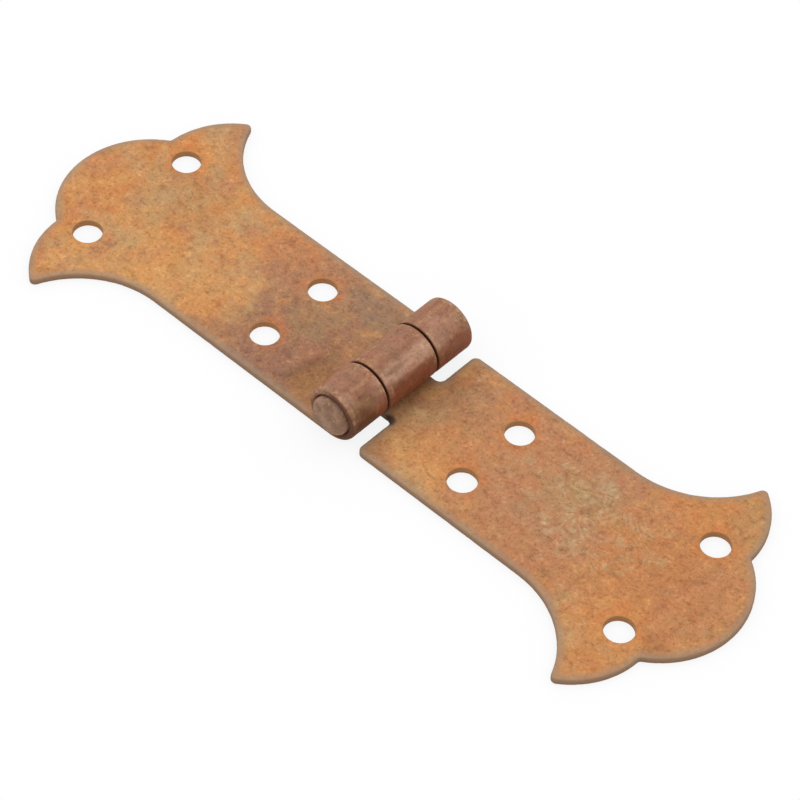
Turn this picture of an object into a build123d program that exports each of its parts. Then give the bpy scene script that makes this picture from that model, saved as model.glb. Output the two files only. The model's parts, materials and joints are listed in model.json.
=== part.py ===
from build123d import *
from math import asin, cos, degrees, radians, sin
import os

# Decorative cabinet hinge with fish-tail leaves, laid open flat. Millimetres.
# The pin lies along Y. The one-knuckle leaf reaches out along +X, and the two-knuckle leaf along -X.
# Both undersides lie in the plane Z = 0. The barrel stands on that plane, on the face side of the leaves.

# Sheet and pin
sheet = 1.1
pin_diameter = 6.0
pin_clearance = 0.05
pin_end_stand = 1.0
pin_end_round = 0.9

# Strap of each leaf, from the pin's axis out to the leaf's end
strip_width = 23.8
leaf_reach = 60.3
leaf_edge_gap = 0.65
edge_corner_round = 1.0

# Fish-tail end, with its insets taken from the leaf's end
dome_radius = 13.4
dome_half_angle = 57.3
horn_span = 44.0
horn_inset = 12.3
horn_outer_radius = 12.6
flare_radius = 15.0
horn_tip_round = 0.8
cusp_round = 0.6

# Knuckles
middle_knuckle_width = 9.5
knuckle_gap = 0.3
seam_gap = 0.15

# Screw holes, in an inner and an outer row on each leaf
screw_hole_diameter = 4.2
inner_row_distance = 18.4
inner_row_spacing = 11.5
outer_row_inset = 10.9
outer_row_spacing = 19.5

# Tumbling breaks the blank's outer edges on both sides of the sheet
edge_break = 0.2

# Worked out from the sizes above
half_strip = strip_width / 2
bore_radius = pin_diameter / 2 + pin_clearance
barrel_radius = bore_radius + sheet
axis_height = barrel_radius
leaf_edge_distance = barrel_radius + leaf_edge_gap
outer_knuckle_width = half_strip - middle_knuckle_width / 2 - knuckle_gap
outer_knuckle_place = half_strip - outer_knuckle_width / 2
# A roll starts under the pin. It stops where its outer edge would come down on its own leaf, less the gap.
roll_turn = 270 + degrees(asin((axis_height - sheet - seam_gap) / barrel_radius))

# Knuckles of each leaf, as the middle along the pin and the width
middle_knuckle = [(0, middle_knuckle_width)]
outer_knuckles = [(side * outer_knuckle_place, outer_knuckle_width) for side in (-1, 1)]
# Screw rows of each leaf, as the distance from the pin's axis and the spacing
screw_rows = [(inner_row_distance, inner_row_spacing), (leaf_reach - outer_row_inset, outer_row_spacing)]

# How near to a stated place a corner or an edge has to lie to be the one that is meant
find_within = 0.01


def corners_at(sketch, distance):
    """Corners of a leaf's outline at this distance from the pin's axis."""
    return sketch.vertices().filter_by_position(Axis.X, distance - find_within, distance + find_within)


def blank_outline(side, knuckles):
    """Flat part of a leaf with a tongue to each knuckle. It reaches out along X if side is 1, or -X if -1."""
    dome_centre = leaf_reach - dome_radius
    dome_angle = radians(dome_half_angle)
    cusp = (dome_centre + dome_radius * cos(dome_angle), dome_radius * sin(dome_angle))
    horn_tip = (leaf_reach - horn_inset, horn_span / 2)
    # The flare runs out of the strip's side without a kink and up to the horn's tip.
    flare_middle = half_strip + flare_radius
    flare_angle = asin((flare_middle - horn_tip[1]) / flare_radius)
    flare_start = horn_tip[0] - flare_radius * cos(flare_angle)
    with BuildSketch(Plane(origin=(0, 0, 0), x_dir=(side, 0, 0), z_dir=(0, 0, 1))) as blank:
        with BuildLine():
            Polyline(
                (leaf_reach, 0),
                (leaf_edge_distance, 0),
                (leaf_edge_distance, half_strip),
                (flare_start, half_strip),
            )
            CenterArc((flare_start, flare_middle), flare_radius, -90, 90 - degrees(flare_angle))
            RadiusArc(horn_tip, cusp, horn_outer_radius)
            CenterArc((dome_centre, 0), dome_radius, 0, dome_half_angle)
        make_face()
        mirror(about=Plane.XZ)
        fillet(corners_at(blank, horn_tip[0]), horn_tip_round)
        fillet(corners_at(blank, cusp[0]), cusp_round)
        for place, width in knuckles:
            with Locations((0, place)):
                Rectangle(leaf_edge_distance, width, align=(Align.MIN, Align.CENTER))
        fillet(corners_at(blank, leaf_edge_distance), edge_corner_round)
        for distance, spacing in screw_rows:
            with Locations((distance, 0)):
                with GridLocations(0, spacing, 1, 2):
                    Circle(screw_hole_diameter / 2, mode=Mode.SUBTRACT)
    return blank.sketch


def roll_section(side, place):
    """Section of a roll at Y = place: the sheet goes under the pin, up, over it and down to its own leaf."""
    across_pin = Plane(origin=(0, place, axis_height), x_dir=(side, 0, 0), z_dir=(0, -side, 0))
    with BuildSketch(across_pin) as section:
        with BuildLine():
            outside = CenterArc((0, 0), barrel_radius, -90, -roll_turn)
            inside = CenterArc((0, 0), bore_radius, -90, -roll_turn)
            Line(outside @ 0, inside @ 0)
            Line(outside @ 1, inside @ 1)
        make_face()
    return section.sketch


def sheet_outline(leaf):
    """Edges round the underside and the face side of a leaf, without the lines where its rolls start."""
    level_faces = leaf.faces().filter_by(Plane.XY)
    outline = ShapeList()
    for height in (0, sheet):
        side = level_faces.filter_by_position(Axis.Z, height - find_within, height + find_within)[0]
        outline += side.outer_wire().edges()
    return outline - outline.filter_by_position(Axis.X, -find_within, find_within)


with BuildPart() as one_knuckle_leaf:
    extrude(blank_outline(1, middle_knuckle), amount=sheet)
    for place, width in middle_knuckle:
        extrude(roll_section(1, place), amount=width / 2, both=True)
    chamfer(sheet_outline(one_knuckle_leaf), edge_break)
one_knuckle_leaf.part.label = "one_knuckle_leaf"

with BuildPart() as two_knuckle_leaf:
    extrude(blank_outline(-1, outer_knuckles), amount=sheet)
    for place, width in outer_knuckles:
        extrude(roll_section(-1, place), amount=width / 2, both=True)
    chamfer(sheet_outline(two_knuckle_leaf), edge_break)
two_knuckle_leaf.part.label = "two_knuckle_leaf"

# The pin's ends stand a little out of the outer knuckles and are rounded over.
with BuildPart(Plane(origin=(0, 0, axis_height), z_dir=(0, 1, 0))) as hinge_pin:
    Cylinder(pin_diameter / 2, strip_width + 2 * pin_end_stand)
    fillet(hinge_pin.edges().filter_by(GeomType.CIRCLE), pin_end_round)
hinge_pin.part.label = "hinge_pin"

os.makedirs("parts", exist_ok=True)
for piece in (one_knuckle_leaf, two_knuckle_leaf, hinge_pin):
    export_step(piece.part, f"parts/{piece.part.label}.step")
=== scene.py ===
import bmesh
import bpy
import json
import numpy as np
from math import asin, ceil, cos, pi, radians, sin, sqrt
from mathutils import Matrix, Vector
from mathutils.geometry import delaunay_2d_cdt
from mathutils.kdtree import KDTree


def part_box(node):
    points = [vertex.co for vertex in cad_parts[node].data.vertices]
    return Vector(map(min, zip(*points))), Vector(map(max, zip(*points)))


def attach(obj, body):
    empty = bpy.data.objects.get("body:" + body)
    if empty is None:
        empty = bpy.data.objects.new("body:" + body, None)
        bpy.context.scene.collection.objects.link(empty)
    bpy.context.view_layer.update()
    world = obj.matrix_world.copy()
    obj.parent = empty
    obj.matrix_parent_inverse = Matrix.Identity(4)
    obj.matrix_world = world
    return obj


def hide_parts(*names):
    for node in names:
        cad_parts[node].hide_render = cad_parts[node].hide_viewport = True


# Rusted decorative cabinet hinge, laid open flat on a pale floor.
# Lengths are metres in the hinge's own frame: the pin lies along Y and the undersides lie at Z = 0.
# Inside the materials a place is in millimetres.

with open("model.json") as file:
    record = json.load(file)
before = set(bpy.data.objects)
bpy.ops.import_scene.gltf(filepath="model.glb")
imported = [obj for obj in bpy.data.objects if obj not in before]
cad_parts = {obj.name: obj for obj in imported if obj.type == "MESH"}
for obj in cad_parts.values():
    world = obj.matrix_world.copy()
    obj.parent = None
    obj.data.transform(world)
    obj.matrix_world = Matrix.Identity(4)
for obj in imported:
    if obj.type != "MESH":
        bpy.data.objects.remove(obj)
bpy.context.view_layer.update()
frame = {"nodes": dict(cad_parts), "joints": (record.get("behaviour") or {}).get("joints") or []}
scene = bpy.context.scene
mm = 0.001

# Sizes of the hinge that the frame gives
pin_low, pin_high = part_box("hinge_pin")
axis_height = frame["joints"][0]["pos_m"][2]
pin_radius = (pin_high.z - pin_low.z) / 2
barrel_radius = axis_height

# Sizes of the hinge that it doesn't give
pin_clearance = 0.05 * mm
pin_end_stand = 1.0 * mm
pin_end_round = 0.9 * mm
pin_dome = 0.2 * mm
seam_gap = 0.15 * mm
edge_round = 0.25 * mm
rim_round = 0.48 * mm
hole_round = 0.14 * mm

# Worked out
bore_radius = pin_radius + pin_clearance
sheet = barrel_radius - bore_radius
half_strip = pin_high.y - pin_end_stand
roll_turn = 1.5 * pi + asin((axis_height - sheet - seam_gap) / barrel_radius)
tongue_length = barrel_radius * roll_turn

# Run of a tongue in which the barrel's end rims grow to their full roundness, and the width of such a rim
rim_run = 3 * mm
rim_width = 0.1 * mm

# Run of a tongue in which the paint of the flats gives way to that of the knuckles
roll_paint_run = 2 * mm

# Rust grains keep this far above the floor and away from a hole
grain_height = 0.3 * mm
grain_to_hole = 0.3 * mm

# How finely the surfaces are meshed
mesh_step = 0.36 * mm
least_step = mesh_step / 8
row_clearance = 0.62 * mesh_step
round_steps = 3
weld = 0.001 * mm
pin_facets = 96
pin_end_rings = 8
pin_ring_step = 1.0 * mm

# Stage
floor_half_width = 0.6
floor_drop = 0.02 * mm
floor_shade_reach = 14 * mm
floor_darkest = 0.84
surround_strength = 0.55
softbox_width = 0.6
softbox_watts = 2.3
softbox_place = (-0.18, 0.04, 0.64)

# Camera that fits the photograph, with the focal length in pixels of its frame
camera_azimuth = radians(40.276)
camera_elevation = radians(49.393)
camera_roll = radians(-3.643)
camera_distance = 459.23 * mm
camera_target = (2.3745 * mm, -0.6743 * mm, 0)
focal_length_in_pixels = 3380.44
photo_width_in_pixels = 800
sensor_width = 36


def anticlockwise(loop):
    """A closed outline that turns anticlockwise and starts at its furthest point from the pin."""
    points = np.array(loop)
    following = np.roll(points, -1, axis=0)
    area = np.sum(points[:, 0] * following[:, 1] - following[:, 0] * points[:, 1])
    if area < 0:
        points = points[::-1]
    start = int(np.argmax(points[:, 0].round(7)))
    return np.roll(points, -start, axis=0)


def level_section(node, height):
    """Closed loops in which a level plane cuts a CAD node, as lists of (x, y)."""
    solid = bmesh.new()
    solid.from_mesh(frame["nodes"][node].data)
    bmesh.ops.remove_doubles(solid, verts=solid.verts, dist=weld)
    everything = solid.verts[:] + solid.edges[:] + solid.faces[:]
    cut = bmesh.ops.bisect_plane(solid, geom=everything, plane_co=(0, 0, height), plane_no=(0, 0, 1))
    edges = [part for part in cut["geom_cut"] if isinstance(part, bmesh.types.BMEdge)]
    loops = []
    while edges:
        edge = edges.pop()
        loop = [edge.verts[0], edge.verts[1]]
        following = edge
        while following:
            following = next((e for e in loop[-1].link_edges if e in edges), None)
            if following:
                edges.remove(following)
                loop.append(following.other_vert(loop[-1]))
        loops.append([(vertex.co.x, vertex.co.y) for vertex in loop[:-1]])
    solid.free()
    return loops


def blank_outline(node, side):
    """Outline of a leaf's blank with its tongues unrolled flat, and the outlines of its screw holes."""
    loops = [anticlockwise([(side * x, y) for x, y in loop]) for loop in level_section(node, sheet / 2)]
    loops.sort(key=lambda loop: -np.ptp(loop[:, 0]))
    blank = []
    on_roll = False
    for out, across in loops[0]:
        if out < -weld and not on_roll:
            blank.append((-tongue_length, blank[-1][1]))
        if out >= -weld and on_roll:
            blank.append((-tongue_length, across))
        on_roll = out < -weld
        if not on_roll:
            blank.append((out, across))
    holes = [loop[::-1] for loop in loops[1:]]
    return finely_spaced(blank), [finely_spaced(hole) for hole in holes]


def finely_spaced(loop):
    """The same outline with its long stretches divided, and without points that nearly meet."""
    points = []
    for point in np.array(loop):
        if not points or np.hypot(*(point - points[-1])) > least_step:
            points.append(point)
    spaced = []
    # A stretch may be longer than a mesh step by this share of one.
    slack = 0.2
    for start, end in zip(points, points[1:] + points[:1]):
        pieces = max(1, ceil(np.hypot(*(end - start)) / mesh_step - slack))
        spaced += [start + (end - start) * step / pieces for step in range(pieces)]
    return np.array(spaced)


def moved_inwards(loop, distance):
    """An outline moved into the sheet, by one distance or by a distance for each point."""
    before = loop - np.roll(loop, 1, axis=0)
    after = np.roll(loop, -1, axis=0) - loop
    normals = []
    for run in (before, after):
        length = np.hypot(run[:, 0], run[:, 1])
        normals.append(np.stack([-run[:, 1] / length, run[:, 0] / length], axis=1))
    both = normals[0] + normals[1]
    mitre = 1 + np.sum(normals[0] * normals[1], axis=1)
    return loop + both / mitre[:, None] * np.broadcast_to(distance, len(loop))[:, None]


def distances_from(loops, places):
    """Distance of each place from the nearest point of these outlines."""
    corners = np.concatenate(loops)
    nearby = KDTree(len(corners))
    for index, (out, across) in enumerate(corners):
        nearby.insert((out, across, 0), index)
    nearby.balance()
    return np.array([nearby.find((out, across, 0))[2] for out, across in places])


def staggered_points(loops):
    """Points in staggered rows inside the first outline and outside the others, clear of them all."""
    edges = np.concatenate([np.stack([loop, np.roll(loop, -1, axis=0)], axis=1) for loop in loops])
    corners = np.concatenate(loops)
    row_height = mesh_step * sqrt(3) / 2
    low, high = corners.min(axis=0), corners.max(axis=0)
    points = []
    for row in range(1, int((high[1] - low[1]) / row_height)):
        across = low[1] + row * row_height
        crossing = edges[(edges[:, 0, 1] > across) != (edges[:, 1, 1] > across)]
        share = (across - crossing[:, 0, 1]) / (crossing[:, 1, 1] - crossing[:, 0, 1])
        crossings = np.sort(crossing[:, 0, 0] + share * (crossing[:, 1, 0] - crossing[:, 0, 0]))
        outs = np.arange(low[0] + (row % 2) * mesh_step / 2, high[0], mesh_step)
        inside = np.searchsorted(crossings, outs) % 2 == 1
        points += [(out, across) for out in outs[inside]]
    points = np.array(points)
    return points[distances_from(loops, points) > row_clearance]


def outline_rounds(outline):
    """How round the edge is at each point of a leaf's outline. The barrel's end rims are worn rounder."""
    towards_barrel = np.clip(-outline[:, 0] / rim_run, 0, 1)
    at_barrel_end = np.abs(outline[:, 1]) > half_strip - rim_width
    return edge_round + (rim_round - edge_round) * towards_barrel * at_barrel_end


def rounded_edge(corner_rounds):
    """Insets and heights of an outline's points at each level down the sheet's rounded edge."""
    turns = [pi / 2 * step / round_steps for step in range(round_steps + 1)]
    upper = [(corner_rounds * (1 - sin(turn)), sheet - corner_rounds * (1 - cos(turn))) for turn in turns]
    lower = [(insets, sheet - heights) for insets, heights in reversed(upper)]
    middle = (np.zeros(len(corner_rounds)), np.full(len(corner_rounds), sheet / 2))
    return upper + [middle] + lower


def sheet_edges(loops, rounds):
    """Places of the edges' points, how much of a wall each is, their faces, and top and bottom rings."""
    places, walls, faces, face_rings = [], [], [], []
    count = 0
    for loop, reach in zip(loops, rounds):
        rings = []
        for level, (insets, heights) in enumerate(rounded_edge(reach)):
            rings.append(np.arange(count, count + len(loop)))
            count += len(loop)
            places.append(np.column_stack([moved_inwards(loop, insets), heights]))
            walls.append(np.full(len(loop), 1 - abs(level - round_steps - 1) / (round_steps + 1)))
        for upper, lower in zip(rings, rings[1:]):
            faces += zip(upper, lower, np.roll(lower, -1), np.roll(upper, -1))
        face_rings.append((rings[0], rings[-1]))
    return places, walls, faces, face_rings


def flat_triangles(rings, inner):
    """Triangles between the outline's ring, the holes' rings and the inner points, none of them in a hole."""
    ring_edges, ring_of = [], []
    for index, ring in enumerate(rings):
        start = len(ring_of)
        ring_edges += [(start + step, start + (step + 1) % len(ring)) for step in range(len(ring))]
        ring_of += [index] * len(ring)
    places = [Vector(place) for place in np.concatenate(rings + [inner])]
    triangles = []
    for triangle in delaunay_2d_cdt(places, ring_edges, [], 1, weld / 100)[2]:
        touched = {ring_of[corner] if corner < len(ring_of) else "inner" for corner in triangle}
        in_hole = len(touched) == 1 and touched != {"inner"} and touched != {0}
        if not in_hole:
            triangles.append(triangle)
    return triangles


def rolled(out, across, height, side):
    """Where a point of the flat blank lies once its tongue is rolled round the pin."""
    turn = np.maximum(-out, 0) / barrel_radius
    radius = barrel_radius - height
    x = np.where(out > 0, out, -radius * np.sin(turn))
    z = np.where(out > 0, height, axis_height - radius * np.cos(turn))
    return np.stack([side * x, across, z], axis=1)


def leaf_mesh(name, node, side):
    """A leaf as a closed, finely meshed sheet with rounded edges, rolled to its knuckles."""
    outline, holes = blank_outline(node, side)
    loops = [outline] + holes
    rounds = [outline_rounds(outline)] + [np.full(len(hole), hole_round) for hole in holes]
    flat_loops = [moved_inwards(loop, reach) for loop, reach in zip(loops, rounds)]
    inner = staggered_points(flat_loops)

    # The edges come first, then the inner points of the face side, then those of the underside.
    places, walls, faces, face_rings = sheet_edges(loops, rounds)
    upper_inner = sum(len(ring) for ring in places) + np.arange(len(inner))
    upper_index = np.concatenate([upper for upper, _ in face_rings] + [upper_inner])
    lower_index = np.concatenate([lower for _, lower in face_rings] + [upper_inner + len(inner)])
    for triangle in flat_triangles(flat_loops, inner):
        faces.append([upper_index[corner] for corner in triangle])
        faces.append([lower_index[corner] for corner in reversed(triangle)])
    for height in (sheet, 0):
        places.append(np.column_stack([inner, np.full(len(inner), height)]))
        walls.append(np.zeros(len(inner)))
    places = np.concatenate(places)
    faces = [tuple(int(corner) for corner in face) for face in faces]
    if side < 0:
        faces = [face[::-1] for face in faces]
    out, across, height = places.T
    final = rolled(out, across, height, side)
    mesh = bpy.data.meshes.new(name)
    mesh.from_pydata(final.tolist(), [], faces)

    # What the relief and the material read
    from_edge = distances_from([outline], places[:, :2])
    from_hole = distances_from(holes, places[:, :2])
    face_side = np.where(out < 0, height < sheet / 2, height > sheet / 2) * (final[:, 2] > grain_height)
    blank_place = places / mm
    blank_place[:, 0] *= side
    add_values(mesh, "wall", np.concatenate(walls))
    add_values(mesh, "from_edge", from_edge / mm)
    add_values(mesh, "from_hole", from_hole / mm)
    add_values(mesh, "on_roll", np.clip(-out / roll_paint_run, 0, 1))
    add_values(mesh, "in_bore", (out < 0) * (height > sheet / 2))
    add_values(mesh, "roughened", face_side * (from_edge > edge_round) * (from_hole > grain_to_hole))
    add_vectors(mesh, "blank_place", blank_place)
    return mesh


def pin_mesh(name):
    """The pin as a closed turned piece with rounded, slightly domed ends."""
    half_length = pin_high.y
    section = [(0.0, half_length)]
    flat = pin_radius - pin_end_round
    for step in range(1, pin_end_rings + 1):
        radius = flat * step / pin_end_rings
        section.append((radius, half_length - pin_dome * (radius / flat) ** 2))
    drop = pin_end_round - pin_dome
    for step in range(1, pin_end_rings + 1):
        turn = pi / 2 * step / pin_end_rings
        height = half_length - pin_dome - drop * (1 - cos(turn))
        section.append((flat + pin_end_round * sin(turn), height))
    straight = half_length - pin_end_round
    steps = ceil(straight / pin_ring_step)
    section += [(pin_radius, straight * (1 - step / steps)) for step in range(1, steps + 1)]
    section += [(radius, -height) for radius, height in reversed(section[:-1])]
    places = [(0.0, half_length, axis_height)]
    for radius, height in section[1:-1]:
        for step in range(pin_facets):
            turn = 2 * pi * step / pin_facets
            places.append((radius * sin(turn), height, axis_height + radius * cos(turn)))
    places.append((0.0, -half_length, axis_height))

    # Fans of triangles close the ends, and bands of squares join the rings between them.
    last_ring = len(section) - 3
    last = 1 + last_ring * pin_facets
    sides = [(step, (step + 1) % pin_facets) for step in range(pin_facets)]
    faces = [(0, 1 + step, 1 + following) for step, following in sides]
    for ring in range(last_ring):
        first = 1 + ring * pin_facets
        after = first + pin_facets
        for step, following in sides:
            faces.append((first + step, after + step, after + following, first + following))
    faces += [(last + step, len(places) - 1, last + following) for step, following in sides]
    mesh = bpy.data.meshes.new(name)
    mesh.from_pydata(places, [], faces)
    add_values(mesh, "roughened", [abs(place[1]) > straight for place in places])
    return mesh


def add_values(mesh, name, values):
    attribute = mesh.attributes.new(name, "FLOAT", "POINT")
    attribute.data.foreach_set("value", np.asarray(values, dtype=np.float32))


def add_vectors(mesh, name, values):
    attribute = mesh.attributes.new(name, "FLOAT_VECTOR", "POINT")
    attribute.data.foreach_set("vector", np.asarray(values, dtype=np.float32).ravel())


# Small helpers for node trees

# Sockets of a Mix node that mixes two colours
mix_share = 0
mix_below = 6
mix_above = 7
mix_result = 2

# Sockets of a Random Value node that draws one number
random_least = 2
random_greatest = 3
random_number = 1


def add_node(tree, kind, inputs=None, **settings):
    """A node with its settings, and its inputs linked or set by name or number."""
    node = tree.nodes.new(kind)
    for key, value in settings.items():
        setattr(node, key, value)
    for key, value in (inputs or {}).items():
        if isinstance(value, bpy.types.NodeSocket):
            tree.links.new(value, node.inputs[key])
        else:
            node.inputs[key].default_value = value
    return node


def new_tree(name, kind, inputs, outputs):
    """An empty node group with its named inputs, as (name, type, value), and its outputs."""
    tree = bpy.data.node_groups.new(name, kind)
    for label, socket, value in inputs:
        made = tree.interface.new_socket(label, in_out="INPUT", socket_type=socket)
        if value is not None:
            made.default_value = value
    for label, socket in outputs:
        tree.interface.new_socket(label, in_out="OUTPUT", socket_type=socket)
    return tree, tree.nodes.new("NodeGroupInput").outputs, tree.nodes.new("NodeGroupOutput").inputs


def use_group(tree, group, **inputs):
    """The outputs of a group. Its inputs are named with an underscore for each space."""
    spaced = {key.replace("_", " "): value for key, value in inputs.items()}
    return add_node(tree, "ShaderNodeGroup", spaced, node_tree=group).outputs


def sums(tree, operation, first, second, third=None):
    """The result of one sum on numbers."""
    values = {0: first, 1: second}
    if third is not None:
        values[2] = third
    return add_node(tree, "ShaderNodeMath", values, operation=operation).outputs[0]


def product(tree, *factors):
    """The product of two or more numbers."""
    result = factors[0]
    for factor in factors[1:]:
        result = sums(tree, "MULTIPLY", result, factor)
    return result


def vector_sums(tree, operation, first, second):
    """The result of one sum on places or directions."""
    return add_node(tree, "ShaderNodeVectorMath", {0: first, 1: second}, operation=operation).outputs[0]


def scaled(tree, vector, factor):
    """A place or a direction times a number."""
    return add_node(tree, "ShaderNodeVectorMath", {0: vector, "Scale": factor}, operation="SCALE").outputs[0]


def shifted(tree, place, by):
    """The same place moved, so that two patterns of one scale differ."""
    return vector_sums(tree, "ADD", place, by)


def steady(tree, value, none, full):
    """0 where the value is at none or beyond it, 1 at full or beyond, and smooth between them."""
    limits = {"Value": value, "From Min": none, "From Max": full}
    return add_node(tree, "ShaderNodeMapRange", limits, interpolation_type="SMOOTHSTEP").outputs[0]


def between(tree, share, none, full):
    """A number that is none where the share is 0, full where it is 1, and in proportion between them."""
    return add_node(tree, "ShaderNodeMapRange", {"Value": share, "To Min": none, "To Max": full}).outputs[0]


def cloudy(tree, place, scale, detail=4.0, roughness=0.55, distortion=0.0):
    """Cloudy noise about 0.5. Its clouds are about as long as 1 divided by the scale."""
    pattern = {"Scale": scale, "Detail": detail, "Roughness": roughness, "Distortion": distortion}
    return add_node(tree, "ShaderNodeTexNoise", {"Vector": place, **pattern}).outputs[0]


def laid_on(tree, paint, over, *shares, strength=1.0, blend_type="MIX"):
    """A paint with another laid over it, by the product of these shares and a strength."""
    return add_node(
        tree,
        "ShaderNodeMix",
        {mix_share: product(tree, *shares, strength), mix_below: paint, mix_above: over},
        data_type="RGBA",
        blend_type=blend_type,
        clamp_factor=True,
    ).outputs[mix_result]


def tinted(tree, paint, tint, share, strength=1.0):
    """A paint whose light is taken times a tint, by a share and a strength."""
    return laid_on(tree, paint, tint, share, strength=strength, blend_type="MULTIPLY")


def colour(red, green, blue):
    """A colour as a paint chart gives it, from 0 to 255, in the light's own scale."""
    shares = [value / 255 for value in (red, green, blue)]
    return tuple(s / 12.92 if s <= 0.04045 else ((s + 0.055) / 1.055) ** 2.4 for s in shares) + (1.0,)


# Rust colours, and colours of painted shade and painted highlights
golden_rust = colour(218, 157, 94)
orange_rust = colour(210, 140, 82)
pink_rust = colour(188, 130, 93)
tan_rust = colour(199, 153, 104)
olive_rust = colour(172, 141, 96)
plum_rust = colour(158, 112, 88)
umber_rust_and_shade = colour(130, 85, 54)
# Colours of painted shade low on the knuckles
deep_umber_shade = colour(100, 62, 38)
red_umber_shade = colour(138, 78, 48)
pale_rust = colour(226, 186, 136)
grey_edge = colour(146, 114, 88)
hole_edge = colour(184, 132, 84)
grey_rust = colour(156, 123, 98)
worn_rim = colour(162, 140, 118)
brown_rust = colour(174, 126, 89)
ochre_rust = colour(196, 144, 86)
# Colour of painted highlights on the knuckles
knuckle_highlight = colour(206, 160, 132)
swirl_scale = colour(200, 174, 132)
red_rust = colour(194, 128, 80)
# Colour of painted shade, near black, in a corner
corner_shade = colour(48, 28, 18)
# Colour of painted shade in the gaps, the bores and the groove round the pin's ends
gap_shade = colour(92, 50, 28)
bright_rust = colour(216, 124, 58)
knuckle_rust = colour(166, 115, 89)
pin_rust = colour(140, 106, 82)
pale_pin_rust = colour(166, 128, 106)

# Shares of red, green and blue light that a tint leaves or adds
dark_tint = (0.60, 0.52, 0.46, 1.0)
pale_tint = (1.28, 1.38, 1.50, 1.0)
olive_tint = (0.88, 1.02, 0.98, 1.0)
red_tint = (1.05, 0.88, 0.84, 1.0)

# Stains on the flat of the leaves, each with its colour, strength, centre and reach in millimetres. One is
# painted shade along the barrel.
leaf_stains = [
    (plum_rust, 0.90, (-13, -5, 0), (12, 9, 9)),
    (plum_rust, 0.70, (-15, 5, 0), (11, 8, 9)),
    (plum_rust, 0.55, (-14, -9, 0), (5, 4, 9)),
    (umber_rust_and_shade, 0.72, (-7.5, -6, 0), (4, 6, 9)),
    (ochre_rust, 0.30, (-7, -8, 0), (3, 4, 9)),
    (brown_rust, 0.85, (-6, 1, 0), (3.5, 5, 9)),
    (grey_rust, 0.75, (-11, 8.5, 0), (7, 4, 9)),
    (pink_rust, 0.55, (-22, 7, 0), (9, 6, 9)),
    (olive_rust, 0.30, (-44, 4, 0), (7, 6, 9)),
    (golden_rust, 0.50, (-34, -6, 0), (10, 6, 9)),
    (olive_rust, 0.35, (-15, 1, 0), (4, 5, 9)),
    (plum_rust, 0.50, (-19, -11, 0), (9, 2.5, 9)),
    (pink_rust, 0.75, (28, 0, 0), (18, 15, 9)),
    (brown_rust, 0.70, (7, 1, 0), (6, 11, 9)),
    # Painted shade, dark brown, along the barrel on the one-knuckle leaf
    (umber_rust_and_shade, 0.30, (5.5, 1, 0), (3.5, 9, 9)),
    (golden_rust, 0.50, (10.5, -6.5, 0), (6, 4, 9)),
    (orange_rust, 0.50, (13, -3, 0), (7, 5, 9)),
    (brown_rust, 0.55, (6.5, -10.5, 0), (3.5, 2.5, 9)),
    (bright_rust, 0.25, (6, 8, 0), (2, 2, 9)),
    (olive_rust, 0.20, (7, 1, 0), (4, 5, 9)),
    (ochre_rust, 0.40, (4.8, 3, 0), (2, 2.5, 9)),
    (tan_rust, 0.65, (6.3, -2, 0), (1.8, 2.2, 9)),
    (orange_rust, 0.75, (49, 0, 0), (11, 16, 9)),
    (red_rust, 0.60, (47, 2, 0), (8, 8, 9)),
    (pink_rust, 0.35, (54.5, 0, 0), (6, 10, 9)),
    (red_rust, 0.35, (29, -9, 0), (10, 4, 9)),
    (olive_rust, 0.40, (31.5, 3, 0), (7, 4, 9)),
    (orange_rust, 0.40, (37.5, 2.5, 0), (3, 2, 9)),
    (umber_rust_and_shade, 0.20, (55.3, -9, 0), (3, 2, 9)),
    (olive_rust, 0.30, (51, 17, 0), (3, 6, 9)),
]

# Stains on the knuckles, in the same way. Some are painted highlights along the knuckles' tops, and some are
# painted shade low on their sides towards the one-knuckle leaf.
knuckle_stains = [
    # Painted highlight along the top of the middle knuckle
    (knuckle_highlight, 0.75, (2.6, 0, 7.35), (1.4, 7, 1.2)),
    # Painted shade low on the middle knuckle's side
    (red_umber_shade, 0.85, (4.2, 0, 4.6), (1.0, 7, 2.0)),
    (umber_rust_and_shade, 0.50, (2.35, -1.8, 7.55), (0.5, 2.8, 0.45)),
    # Painted shade low on the far knuckle
    (red_umber_shade, 0.45, (3.6, 8.5, 4.6), (2.4, 3, 3)),
    # Painted highlight on the top of the far knuckle
    (knuckle_highlight, 0.30, (2, 7.5, 7.4), (2.4, 3, 1.8)),
    (olive_rust, 0.50, (3.2, -9.4, 5.6), (1.6, 1.8, 2)),
    # Painted shade low on the near knuckle, in two layers
    (red_umber_shade, 0.60, (3.5, -9, 3), (3, 5, 2.2)),
    (deep_umber_shade, 0.85, (3.4, -11, 3), (3, 4, 3.2)),
    (umber_rust_and_shade, 0.50, (3.2, -8.5, 6.7), (1.3, 1.8, 1.4)),
    (plum_rust, 0.60, (-0.3, -9, 8.2), (2, 2.5, 2)),
    # Painted highlight on the top of the near knuckle
    (knuckle_highlight, 0.35, (1.6, -11, 8), (1.2, 1.2, 1.2)),
]


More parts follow.
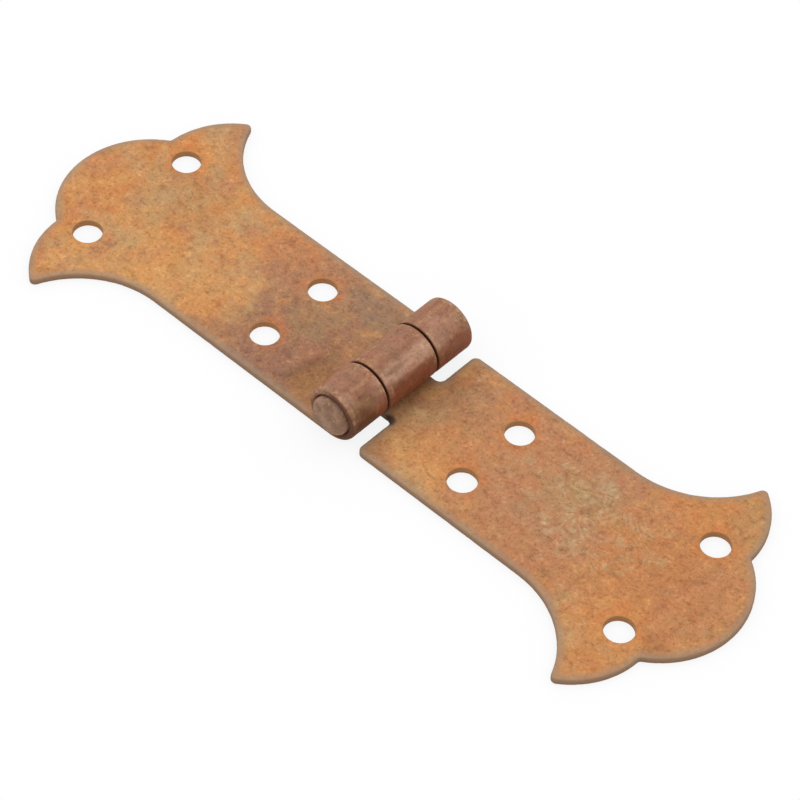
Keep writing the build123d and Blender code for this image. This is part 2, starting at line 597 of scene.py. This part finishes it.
def make_relief():
    """Tree that pits a piece's surface, strews rust grains over it and gives it its material."""
    tree, given, result = new_tree(
        "rust relief",
        "GeometryNodeTree",
        [
            ("Piece", "NodeSocketGeometry", None),
            ("Pit depth", "NodeSocketFloat", 0.03 * mm),
            ("Pit size", "NodeSocketFloat", 0.9 * mm),
            ("Unevenness", "NodeSocketFloat", 0.03 * mm),
            ("Grains per square mm", "NodeSocketFloat", 1.0),
            ("Grain size", "NodeSocketFloat", 0.11 * mm),
            ("Seed", "NodeSocketInt", 1),
            ("Finish", "NodeSocketMaterial", None),
        ],
        [("Piece", "NodeSocketGeometry")],
    )
    place = add_node(tree, "GeometryNodeInputPosition").outputs[0]
    normal = add_node(tree, "GeometryNodeInputNormal").outputs[0]

    # Pits, and a swell that makes the whole surface a little uneven
    pit_scale = sums(tree, "DIVIDE", 1.0, given["Pit size"])
    pitted = steady(tree, cloudy(tree, place, pit_scale, detail=3.0), none=0.5, full=0.75)
    swell = product(tree, cloudy(tree, place, scale=0.12 / mm, detail=1.0), given["Unevenness"])
    depth = sums(tree, "MULTIPLY_ADD", pitted, given["Pit depth"], swell)
    inwards = scaled(tree, normal, product(tree, depth, -1.0))
    pitted_piece = add_node(
        tree, "GeometryNodeSetPosition", {"Geometry": given["Piece"], "Offset": inwards}
    ).outputs[0]

    # Flattened grains, in clusters
    roughened = add_node(tree, "GeometryNodeInputNamedAttribute", {"Name": "roughened"}).outputs[0]
    clusters = steady(tree, cloudy(tree, place, scale=0.25 / mm, detail=3.0), none=0.35, full=0.65)
    density = product(tree, given["Grains per square mm"], 1.0 / mm**2, clusters, roughened)
    strewn = add_node(
        tree,
        "GeometryNodeDistributePointsOnFaces",
        {"Mesh": pitted_piece, "Density": density, "Seed": given["Seed"]},
    ).outputs
    grain = add_node(tree, "GeometryNodeMeshIcoSphere", {"Radius": given["Grain size"], "Subdivisions": 1})
    size = add_node(
        tree,
        "FunctionNodeRandomValue",
        {random_least: 0.35, random_greatest: 1.0, "Seed": given["Seed"]},
        data_type="FLOAT",
    ).outputs[random_number]
    height = product(tree, size, 0.4)
    flattened = add_node(tree, "ShaderNodeCombineXYZ", {"X": size, "Y": size, "Z": height})
    grains = add_node(
        tree,
        "GeometryNodeInstanceOnPoints",
        {
            "Points": strewn["Points"],
            "Instance": grain.outputs["Mesh"],
            "Rotation": strewn["Rotation"],
            "Scale": flattened.outputs[0],
        },
    )
    joined = add_node(tree, "GeometryNodeJoinGeometry")
    tree.links.new(grains.outputs[0], joined.inputs[0])
    tree.links.new(pitted_piece, joined.inputs[0])
    smooth = add_node(tree, "GeometryNodeSetShadeSmooth", {"Geometry": joined.outputs[0]})
    real = add_node(tree, "GeometryNodeRealizeInstances", {"Geometry": smooth.outputs[0]})
    finished = add_node(
        tree, "GeometryNodeSetMaterial", {"Geometry": real.outputs[0], "Material": given["Finish"]}
    )
    tree.links.new(finished.outputs[0], result["Piece"])
    return tree


def finished_piece(mesh, body, node, values):
    """A mesh with its rust relief, set on its body in place of its CAD node."""
    piece = bpy.data.objects.new(mesh.name, mesh)
    scene.collection.objects.link(piece)
    modifier = piece.modifiers.new("rust relief", "NODES")
    modifier.node_group = relief
    for item in relief.interface.items_tree:
        if item.in_out == "INPUT" and item.name in values:
            modifier[item.identifier] = values[item.name]
    graph = bpy.context.evaluated_depsgraph_get()
    made = piece.evaluated_get(graph)
    plain = bpy.data.meshes.new_from_object(made, preserve_all_data_layers=True, depsgraph=graph)
    plain.name = mesh.name
    piece.modifiers.clear()
    piece.data = plain
    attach(piece, body)
    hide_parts(node)


def make_grain_group():
    """Fine rust grain: dark and pale specks and the height that goes with them."""
    tree, given, result = new_tree(
        "rust grain",
        "ShaderNodeTree",
        [
            ("Place", "NodeSocketVector", None),
            ("Grains per mm", "NodeSocketFloat", 2.2),
            ("Dark share", "NodeSocketFloat", 0.5),
            ("Pale share", "NodeSocketFloat", 0.5),
        ],
        [("Dark", "NodeSocketFloat"), ("Pale", "NodeSocketFloat"), ("Height", "NodeSocketFloat")],
    )
    elsewhere = shifted(tree, given["Place"], by=(31.0, 17.0, 5.0))
    fine = cloudy(tree, given["Place"], given["Grains per mm"], detail=3.0, roughness=0.7)
    other = cloudy(tree, elsewhere, given["Grains per mm"], detail=2.0, roughness=0.6)
    dark = product(tree, steady(tree, fine, none=0.52, full=0.30), given["Dark share"])
    pale = product(tree, steady(tree, other, none=0.52, full=0.72), given["Pale share"])
    tree.links.new(dark, result["Dark"])
    tree.links.new(pale, result["Pale"])
    tree.links.new(fine, result["Height"])
    return tree


def make_stain_group():
    """A soft stain round a centre, with a ragged edge."""
    tree, given, result = new_tree(
        "stain",
        "ShaderNodeTree",
        [
            ("Place", "NodeSocketVector", None),
            ("Centre", "NodeSocketVector", None),
            ("Reach", "NodeSocketVector", (5.0, 5.0, 5.0)),
            ("Raggedness", "NodeSocketFloat", 0.6),
        ],
        [("Share", "NodeSocketFloat")],
    )
    from_centre = vector_sums(tree, "SUBTRACT", given["Place"], given["Centre"])
    in_reaches = vector_sums(tree, "DIVIDE", from_centre, given["Reach"])
    away = add_node(tree, "ShaderNodeVectorMath", {0: in_reaches}, operation="LENGTH").outputs["Value"]
    about_zero = sums(tree, "SUBTRACT", cloudy(tree, given["Place"], scale=0.35, detail=5.0), 0.5)
    ragged = product(tree, about_zero, 3.0)
    warped = sums(tree, "MULTIPLY_ADD", ragged, given["Raggedness"], away)
    tree.links.new(steady(tree, warped, none=1.25, full=0.55), result["Share"])
    return tree


def make_swirl_group():
    """Thin worm-like lines of pale scale, broken here and there."""
    tree, given, result = new_tree(
        "scale swirls",
        "ShaderNodeTree",
        [
            ("Place", "NodeSocketVector", None),
            ("Swirls per mm", "NodeSocketFloat", 0.22),
            ("Line width", "NodeSocketFloat", 0.065),
        ],
        [("Share", "NodeSocketFloat")],
    )
    winding = cloudy(tree, given["Place"], given["Swirls per mm"], detail=1.0, roughness=0.5, distortion=1.0)
    to_line = sums(tree, "PINGPONG", winding, 0.08)
    line = steady(tree, sums(tree, "DIVIDE", to_line, given["Line width"]), none=1.0, full=0.1)
    elsewhere = shifted(tree, given["Place"], by=(9.0, 4.0, 2.0))
    broken = steady(tree, cloudy(tree, elsewhere, scale=0.45, detail=3.0), none=0.40, full=0.58)
    tree.links.new(product(tree, line, broken), result["Share"])
    return tree


def new_material(name):
    material = bpy.data.materials.new(name)
    material.use_nodes = True
    return material, material.node_tree, material.node_tree.nodes["Principled BSDF"]


def marked(tree, name, output="Fac"):
    """A value that the mesh holds at each point, as a number or, with "Vector", as a place."""
    return add_node(tree, "ShaderNodeAttribute", attribute_name=name).outputs[output]


def place_in_mm(tree):
    """The place on the piece, in millimetres of the hinge's frame."""
    metres = add_node(tree, "ShaderNodeTexCoord").outputs["Object"]
    return scaled(tree, metres, 1 / mm)


def stain(tree, place, centre, reach, raggedness=0.6):
    """How much of a stain lies at a place: 1 at its centre and 0 well outside its reach."""
    return use_group(
        tree, stain_group, Place=place, Centre=centre, Reach=reach, Raggedness=raggedness
    )["Share"]


def stained(tree, paint, place, stains):
    """A paint with stains laid over it, one after the other."""
    for over, strength, centre, reach in stains:
        paint = laid_on(tree, paint, over, stain(tree, place, centre, reach), strength=strength)
    return paint


def flat_paint(tree, place):
    """Rust of the leaves' flats: broad patches, stains and pale swirls of scale."""
    tan = cloudy(tree, place, scale=0.10, detail=5.0, roughness=0.6)
    paint = laid_on(tree, orange_rust, tan_rust, steady(tree, tan, none=0.42, full=0.60))
    golden = cloudy(tree, shifted(tree, place, by=(50.0, 9.0, 0.0)), scale=0.13, detail=5.0, roughness=0.6)
    paint = laid_on(tree, paint, golden_rust, steady(tree, golden, none=0.46, full=0.66))
    pink = cloudy(tree, shifted(tree, place, by=(7.0, 70.0, 0.0)), scale=0.16, detail=6.0, roughness=0.6)
    paint = laid_on(tree, paint, pink_rust, steady(tree, pink, none=0.50, full=0.66), strength=0.6)
    paint = stained(tree, paint, place, leaf_stains)

    # The swirls lie on the middle of the one-knuckle leaf.
    swirls = use_group(tree, swirl_group, Place=place)["Share"]
    swirl_zone = stain(tree, place, centre=(35, 1, 0), reach=(12, 8, 9))
    return laid_on(tree, paint, swirl_scale, swirls, swirl_zone, strength=0.55)


def knuckle_paint(tree, place, along_sheet, up):
    """Rust of the knuckles: brown, streaked along the pin and stained, with painted shade that makes them
    redder and darker low down, and painted highlights and shade among the stains.
    """
    plum = steady(tree, cloudy(tree, place, scale=0.3), none=0.42, full=0.62)
    paint = laid_on(tree, knuckle_rust, plum_rust, plum)
    stretched_along_pin = vector_sums(tree, "MULTIPLY", along_sheet, (1.0, 0.12, 1.0))
    streaks = cloudy(tree, stretched_along_pin, scale=0.9, roughness=0.6)
    paint = laid_on(tree, paint, tan_rust, steady(tree, streaks, none=0.5, full=0.7), strength=0.45)
    paint = laid_on(tree, paint, umber_rust_and_shade, steady(tree, streaks, none=0.5, full=0.3), strength=0.35)
    # Painted shade: redder and darker low down on the knuckles
    paint = laid_on(tree, paint, red_umber_shade, steady(tree, up, none=7.0, full=3.0), strength=0.95)
    return stained(tree, paint, place, knuckle_stains)


def set_rust(tree, shader, paint, height):
    """Gives a shader its paint, a fine relief and little gloss."""
    bump = add_node(tree, "ShaderNodeBump", {"Height": height, "Strength": 0.5, "Distance": 0.05 * mm})
    tree.links.new(bump.outputs[0], shader.inputs["Normal"])
    tree.links.new(paint, shader.inputs["Base Color"])
    shader.inputs["Specular IOR Level"].default_value = 0.3


def leaf_material():
    """Rust of the leaves, with worn edges, painted highlights and shade on the knuckles and along the barrel,
    and painted shade in the gaps, the bores and one corner.
    """
    material, tree, shader = new_material("rusted sheet")
    along_sheet = marked(tree, "blank_place", "Vector")
    wall = marked(tree, "wall")
    from_edge = marked(tree, "from_edge")
    from_hole = marked(tree, "from_hole")
    on_roll = marked(tree, "on_roll")
    in_bore = marked(tree, "in_bore")
    place = place_in_mm(tree)
    axes = add_node(tree, "ShaderNodeSeparateXYZ", {0: place}).outputs
    depth_in_roll = add_node(tree, "ShaderNodeSeparateXYZ", {0: along_sheet}).outputs["Z"]
    on_knuckles = knuckle_paint(tree, place, along_sheet, axes["Z"])
    paint = laid_on(tree, flat_paint(tree, place), on_knuckles, on_roll)

    # Ochre flecks over the plum rust by the barrel
    flecks = cloudy(tree, shifted(tree, place, by=(5.0, 5.0, 5.0)), scale=0.9, detail=5.0, roughness=0.75)
    fleck_zone = stain(tree, place, centre=(-13, -1, 0), reach=(13, 13, 9))
    flecks = steady(tree, flecks, none=0.48, full=0.66)
    paint = laid_on(tree, paint, ochre_rust, flecks, fleck_zone, strength=0.45)

    # Fresh rust round the holes
    ring = steady(tree, from_hole, none=2.2, full=0.4)
    fresh = steady(tree, cloudy(tree, place, scale=0.5), none=0.42, full=0.62)
    paint = laid_on(tree, paint, bright_rust, ring, fresh, strength=0.38)

    # Drifts of hue, mottling and grain
    drift = cloudy(tree, shifted(tree, along_sheet, by=(60.0, 20.0, 4.0)), scale=0.4, detail=3.0)
    paint = tinted(tree, paint, olive_tint, steady(tree, drift, none=0.52, full=0.68), strength=0.5)
    paint = tinted(tree, paint, red_tint, steady(tree, drift, none=0.48, full=0.32), strength=0.5)
    elsewhere = shifted(tree, along_sheet, by=(3.0, 3.0, 40.0))
    mottle = cloudy(tree, elsewhere, scale=0.7, detail=5.0, roughness=0.65)
    paint = tinted(tree, paint, dark_tint, steady(tree, mottle, none=0.5, full=0.30), strength=0.6)
    paint = tinted(tree, paint, pale_tint, steady(tree, mottle, none=0.52, full=0.74), strength=0.7)
    grain = use_group(
        tree, grain_group, Place=along_sheet, Grains_per_mm=1.9, Dark_share=0.65, Pale_share=0.65
    )
    paint = tinted(tree, paint, dark_tint, grain["Dark"])
    paint = tinted(tree, paint, pale_tint, grain["Pale"])

    # Worn edges, less worn on the knuckles, which have pale crumbs along their upper rims
    worn = steady(tree, from_edge, none=1.5, full=0.1)
    paint = laid_on(tree, paint, worn_rim, worn, between(tree, on_roll, none=0.66, full=0.06))
    crumbs = cloudy(tree, shifted(tree, along_sheet, by=(8.0, 1.0, 6.0)), scale=1.6, detail=3.0)
    crumbs = steady(tree, crumbs, none=0.54, full=0.64)
    near_rim = steady(tree, from_edge, none=1.4, full=0.5)
    upper = steady(tree, axes["Z"], none=3.0, full=6.5)
    paint = laid_on(tree, paint, pale_rust, crumbs, near_rim, on_roll, upper, strength=0.35)

    # Grey walls, browner low down, and the walls of the holes
    wall_paint = laid_on(tree, umber_rust_and_shade, grey_edge, steady(tree, axes["Z"], none=0.1, full=0.8))
    paint = laid_on(tree, paint, wall_paint, wall, between(tree, on_roll, none=0.8, full=0.15))
    in_hole = steady(tree, from_hole, none=0.25, full=0.05)
    paint = laid_on(tree, paint, hole_edge, in_hole, strength=0.85)

    # Painted shade in the gaps between the knuckles, on their facing ends
    along_pin = sums(tree, "ABSOLUTE", axes["Y"], 0.0)
    barrel_end = half_strip / mm
    inside_barrel = steady(tree, along_pin, none=barrel_end - 0.2, full=barrel_end - 0.6)
    gap_wall = steady(tree, wall, none=0.2, full=0.7)
    paint = laid_on(tree, paint, gap_shade, gap_wall, on_roll, inside_barrel)

    # Painted shade in the bores, lighter at the barrel's ends on the side towards their own leaf, and a
    # painted shade groove round the pin's ends on the side away from their own leaf
    at_end = sums(tree, "SUBTRACT", 1.0, inside_barrel)
    towards_own_leaf = product(tree, steady(tree, axes["X"], none=0.5, full=-2.5), at_end)
    paint = laid_on(tree, paint, gap_shade, between(tree, towards_own_leaf, none=0.9, full=0.2), in_bore)
    groove = steady(tree, depth_in_roll, none=0.02, full=0.25)
    away_from_leaf = sums(tree, "SUBTRACT", at_end, towards_own_leaf)
    paint = laid_on(tree, paint, gap_shade, groove, on_roll, away_from_leaf, strength=0.85)

    # Painted shade, near black, in the corner where the middle tongue meets the near knuckle
    corner_shade_share = stain(tree, place, centre=(4.3, -5.0, 1.2), reach=(1.1, 1.0, 2.4), raggedness=0.2)
    paint = laid_on(tree, paint, corner_shade, corner_shade_share, strength=0.85)

    set_rust(tree, shader, paint, sums(tree, "ADD", grain["Height"], product(tree, mottle, 1.5)))
    tree.links.new(between(tree, mottle, none=0.62, full=0.88), shader.inputs["Roughness"])
    return material


def pin_material():
    """Rust of the pin: greyer than the leaves, with dark and pale specks."""
    material, tree, shader = new_material("rusted pin")
    place = place_in_mm(tree)
    patches = cloudy(tree, place, scale=0.5, detail=5.0, roughness=0.6)
    paint = laid_on(tree, pin_rust, pale_pin_rust, steady(tree, patches, none=0.40, full=0.62))
    grain = use_group(tree, grain_group, Place=place, Grains_per_mm=2.2, Dark_share=0.5, Pale_share=0.3)
    paint = laid_on(tree, paint, umber_rust_and_shade, grain["Dark"])
    paint = laid_on(tree, paint, pale_rust, grain["Pale"])
    set_rust(tree, shader, paint, grain["Height"])
    shader.inputs["Roughness"].default_value = 0.72
    return material


def make_camera():
    """Camera where the photograph was taken from."""
    level = cos(camera_elevation)
    back = Vector((sin(camera_azimuth) * level, -cos(camera_azimuth) * level, sin(camera_elevation)))
    right = (-back).cross(Vector((0, 0, 1))).normalized()
    down = (-back).cross(right)
    turned_right = cos(camera_roll) * right + sin(camera_roll) * down
    turned_down = cos(camera_roll) * down - sin(camera_roll) * right
    axes = Matrix((turned_right, -turned_down, back)).transposed()
    camera = bpy.data.objects.new("camera", bpy.data.cameras.new("camera"))
    camera.data.sensor_width = sensor_width
    camera.data.lens = sensor_width * (focal_length_in_pixels / photo_width_in_pixels)
    camera.data.clip_start = 10 * mm
    camera.data.clip_end = 20
    place = Vector(camera_target) + back * camera_distance
    camera.matrix_world = Matrix.Translation(place) @ axes.to_4x4()
    scene.collection.objects.link(camera)
    scene.camera = camera


def background_seen(tree):
    """1 for the rays that show the background: the camera's, and those that metal and glass send on."""
    path = add_node(tree, "ShaderNodeLightPath").outputs
    seen = sums(tree, "MAXIMUM", path["Is Camera Ray"], path["Is Glossy Ray"])
    return sums(tree, "MAXIMUM", seen, path["Is Transmission Ray"])


def make_floor():
    """Pale floor. The camera sees the white behind it, shaded where the hinge stands close over it."""
    low, high = -floor_half_width, floor_half_width
    mesh = bpy.data.meshes.new("floor")
    mesh.from_pydata([(low, low, 0), (high, low, 0), (high, high, 0), (low, high, 0)], [], [(0, 1, 2, 3)])
    floor = bpy.data.objects.new("floor", mesh)
    floor.location.z = -floor_drop
    scene.collection.objects.link(floor)
    material, tree, shader = new_material("pale floor")
    shader.inputs["Base Color"].default_value = (1, 1, 1, 1)
    shader.inputs["Roughness"].default_value = 0.9
    openness = add_node(
        tree, "ShaderNodeAmbientOcclusion", {"Distance": floor_shade_reach}, samples=8
    ).outputs["AO"]
    shade = between(tree, openness, none=floor_darkest, full=1.0)
    clear = add_node(tree, "ShaderNodeBsdfTransparent", {"Color": shade})
    seen = background_seen(tree)
    mix = add_node(tree, "ShaderNodeMixShader", {0: seen, 1: shader.outputs[0], 2: clear.outputs[0]})
    tree.links.new(mix.outputs[0], tree.nodes["Material Output"].inputs["Surface"])
    floor.data.materials.append(material)


def make_light():
    """Plain soft light from above and a white surround."""
    world = bpy.data.worlds.new("surround")
    scene.world = world
    world.use_nodes = True
    tree = world.node_tree
    background = tree.nodes["Background"]
    background.inputs["Color"].default_value = (1, 1, 1, 1)
    strength = between(tree, background_seen(tree), none=surround_strength, full=1.0)
    tree.links.new(strength, background.inputs["Strength"])
    lamp = bpy.data.lights.new("softbox", "AREA")
    lamp.shape = "SQUARE"
    lamp.size = softbox_width
    lamp.energy = softbox_watts
    softbox = bpy.data.objects.new("softbox", lamp)
    softbox.location = softbox_place
    softbox.rotation_mode = "QUATERNION"
    softbox.rotation_quaternion = (-softbox.location).to_track_quat("-Z", "Y")
    scene.collection.objects.link(softbox)


scene.view_settings.view_transform = "Standard"
relief = make_relief()
grain_group = make_grain_group()
stain_group = make_stain_group()
swirl_group = make_swirl_group()
sheet_finish = leaf_material()
pin_finish = pin_material()

finished_piece(
    leaf_mesh("one_knuckle_leaf_rusted", "one_knuckle_leaf", 1),
    "swinging_leaf",
    "one_knuckle_leaf",
    {"Finish": sheet_finish, "Seed": 3},
)
finished_piece(
    leaf_mesh("two_knuckle_leaf_rusted", "two_knuckle_leaf", -1),
    "fixed_leaf",
    "two_knuckle_leaf",
    {"Finish": sheet_finish, "Seed": 8},
)
finished_piece(
    pin_mesh("hinge_pin_rusted"),
    "fixed_leaf",
    "hinge_pin",
    {
        "Finish": pin_finish,
        "Seed": 5,
        "Grains per square mm": 1.5,
        "Grain size": 0.09 * mm,
        "Unevenness": 0.0,
    },
)

make_camera()
make_floor()
make_light()
